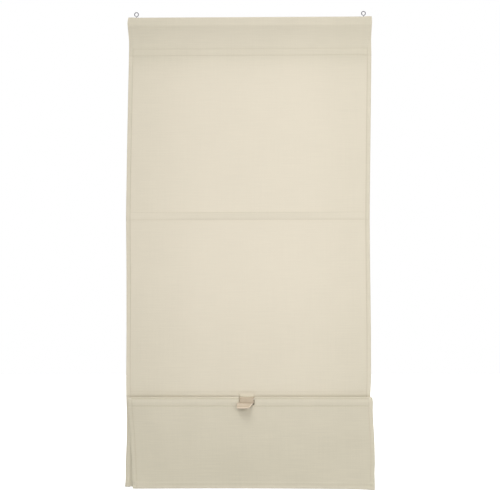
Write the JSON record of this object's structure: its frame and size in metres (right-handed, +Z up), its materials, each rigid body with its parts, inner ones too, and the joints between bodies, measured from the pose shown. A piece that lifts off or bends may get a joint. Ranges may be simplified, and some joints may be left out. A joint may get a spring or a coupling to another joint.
{
  "type": "roman blind",
  "caption": "Cordless cloth roman blind with a batten head, rod casings across the back and a catch that holds its lowest part folded up.",
  "frame": {"origin": "midway between the centres of the two hanging eyes", "axes": "+X across the blind to the viewer's right, +Y from the front to the back, +Z up"},
  "size_m": [0.617, 0.0367, 1.1735],
  "materials": {
    "cloth": "matt, slightly slubbed plain weave",
    "casing": "matt plain weave",
    "wood": "planed, unfinished",
    "eye": "dull zinc",
    "rod": "matt brown lacquer",
    "bar": "dull galvanised",
    "catch": "satin moulded"
  },
  "bodies": {
    "blind": {"fabric_panel": "cloth", "head_batten": "wood", "screw_eyes": "eye", "upper_casing": "casing", "middle_casing": "casing", "lower_casing": "casing", "upper_rod": "rod", "middle_rod": "rod", "lower_rod": "rod", "hem_bar": "bar"},
    "catch": {"catch": "catch"}
  },
  "joints": [
    {"name": "catch_swing", "type": "hinge", "parent": "blind", "child": "catch", "pos_m": [-0.0094, 0.0029, -0.9442], "axis": [-1, 0, 0], "range_deg": [0, 60]}
  ]
}
